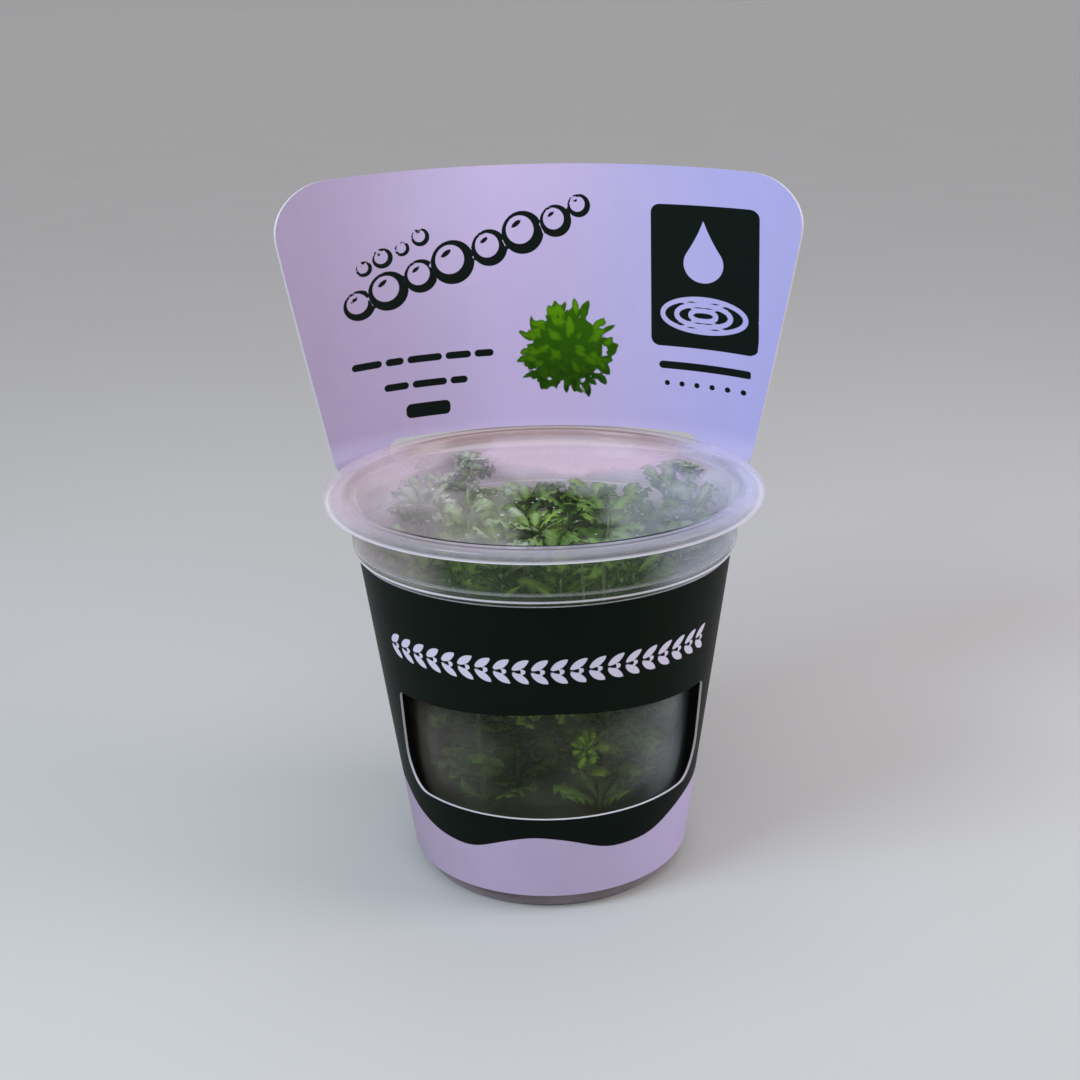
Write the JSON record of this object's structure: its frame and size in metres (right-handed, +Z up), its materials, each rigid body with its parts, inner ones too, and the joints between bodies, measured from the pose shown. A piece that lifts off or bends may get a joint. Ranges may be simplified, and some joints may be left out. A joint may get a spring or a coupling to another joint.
{
  "type": "rice paddy herb in a growing cup",
  "caption": "Dwarf rice paddy herb plantlets rooted in nutrient gel inside a closed clear cup, with a snap lid and a card sleeve whose header stands behind it.",
  "frame": {"origin": "middle of the cup's flat base, on the surface it stands on", "axes": "+Z up the cup, +Y from the window at the front towards the header at the back, +X to the right seen from the front"},
  "size_m": [0.1172, 0.1021, 0.1531],
  "materials": {
    "clear_plastic": "clear, slightly frosted moulded plastic",
    "frosted_plastic": "clear panel with a frosted rim",
    "printed_card": "smooth coated card, white with a dark green printed band",
    "nutrient_gel": "soft, moist, glossy",
    "stem": "fresh pale green stem",
    "leaf": "fresh green leaf"
  },
  "bodies": {
    "root": {"cup": "clear_plastic", "lid": "frosted_plastic", "card_sleeve": "printed_card", "nutrient_gel": "nutrient_gel", "stem_1": "stem", "stem_2": "stem", "stem_3": "stem", "stem_4": "stem", "stem_5": "stem", "stem_6": "stem", "stem_7": "stem", "stem_8": "stem", "leaves_1_1": "leaf", "leaves_1_2": "leaf", "leaves_1_3": "leaf", "leaves_1_4": "leaf", "leaves_2_1": "leaf", "leaves_2_2": "leaf", "leaves_3_1": "leaf", "leaves_3_2": "leaf", "leaves_3_3": "leaf", "leaves_4_1": "leaf", "leaves_4_2": "leaf", "leaves_5_1": "leaf", "leaves_5_2": "leaf", "leaves_5_3": "leaf", "leaves_6_1": "leaf", "leaves_6_2": "leaf", "leaves_6_3": "leaf", "leaves_7_1": "leaf", "leaves_7_2": "leaf", "leaves_8_1": "leaf", "leaves_8_2": "leaf"}
  },
  "joints": []
}
